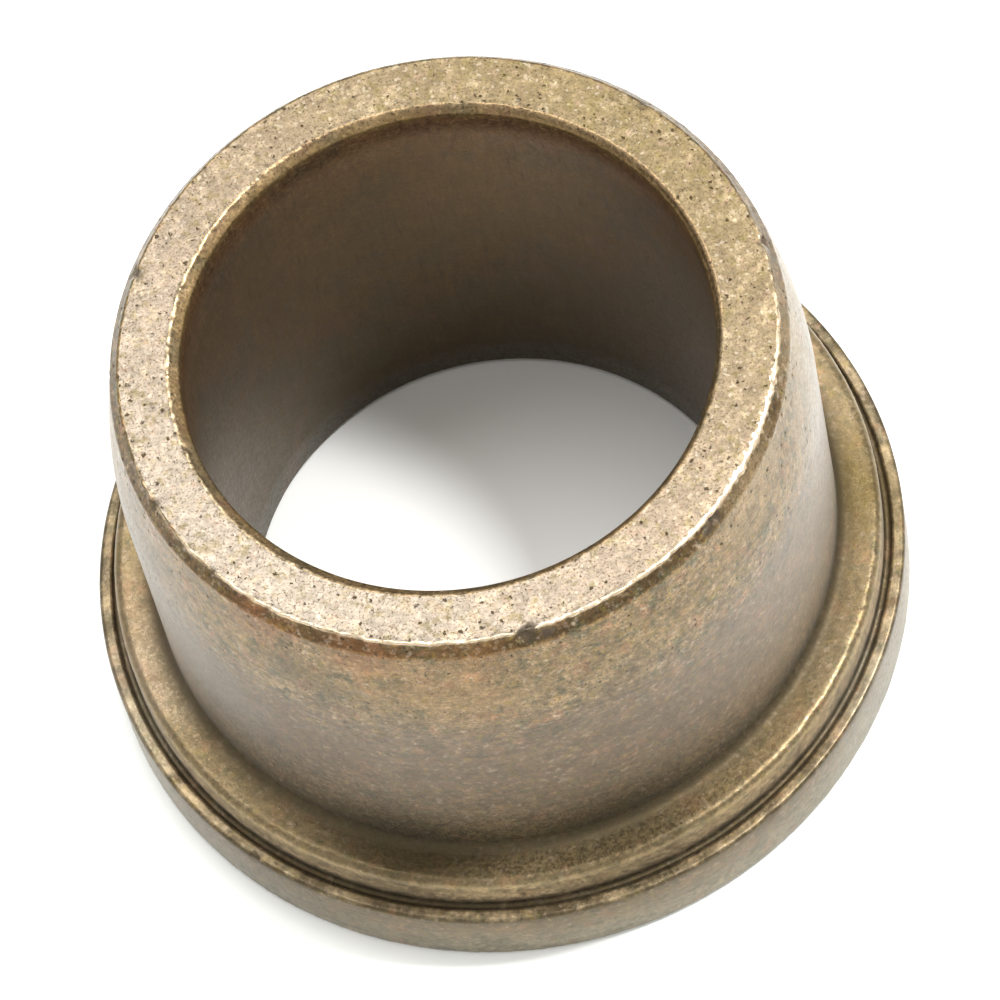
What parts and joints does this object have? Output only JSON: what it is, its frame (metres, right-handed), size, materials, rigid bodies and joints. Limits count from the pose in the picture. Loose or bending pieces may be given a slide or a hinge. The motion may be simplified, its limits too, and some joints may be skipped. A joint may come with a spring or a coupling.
{
  "type": "flanged sleeve bushing",
  "caption": "Plain flanged sleeve bearing of sintered bronze with a stepped flange, a chamfered bore and a tapered lead-in at its free end.",
  "frame": {"origin": "centre of the bore at the flange's back face, which is the face the bushing stands on", "axes": "+Z along the bore axis, from the flange to the free end of the sleeve; X and Y are any two radii, because the part is round"},
  "size_m": [0.0302, 0.0302, 0.0191],
  "materials": {
    "sintered_bronze": "as-sintered bronze, semi-matte with fine pores and a brown oil patina, brighter where the end face was sized"
  },
  "bodies": {
    "root": {"flanged_bushing": "sintered_bronze"}
  },
  "joints": []
}
